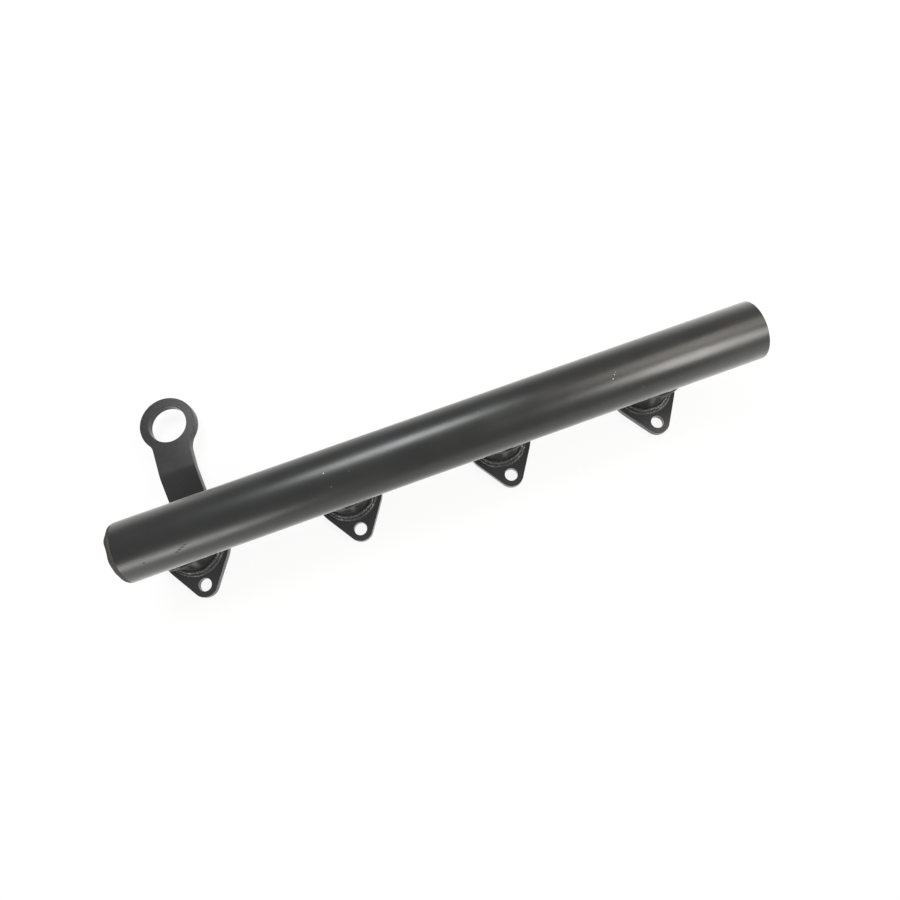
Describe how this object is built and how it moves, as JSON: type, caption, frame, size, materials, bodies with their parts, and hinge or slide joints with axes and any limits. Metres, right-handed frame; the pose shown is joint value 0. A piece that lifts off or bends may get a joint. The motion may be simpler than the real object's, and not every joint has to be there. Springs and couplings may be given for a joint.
{
  "type": "intake manifold",
  "caption": "Welded steel intake manifold: straight header tube closed at one end, short branch stubs with two-bolt flanges, and a lifting eye.",
  "frame": {"origin": "centre of port 1, the port nearest the closed end, on its flange's mating face", "axes": "+X along the header tube from the closed end to the open end; +Z from the mating faces up to the tube; +Y towards the lifting eye"},
  "size_m": [0.503, 0.1669, 0.086],
  "materials": {
    "tube_paint": "satin black paint on steel tube",
    "plate_paint": "satin black paint on cut steel plate",
    "weld_paint": "glossy black paint on weld beads"
  },
  "bodies": {
    "root": {"main_tube": "tube_paint", "end_disc": "tube_paint", "end_weld": "weld_paint", "stub_1": "tube_paint", "stub_2": "tube_paint", "stub_3": "tube_paint", "stub_4": "tube_paint", "flange_1": "plate_paint", "flange_2": "plate_paint", "flange_3": "plate_paint", "flange_4": "plate_paint", "flange_welds": "weld_paint", "saddle_welds": "weld_paint", "lifting_eye": "plate_paint", "eye_foot_weld": "weld_paint"}
  },
  "joints": []
}
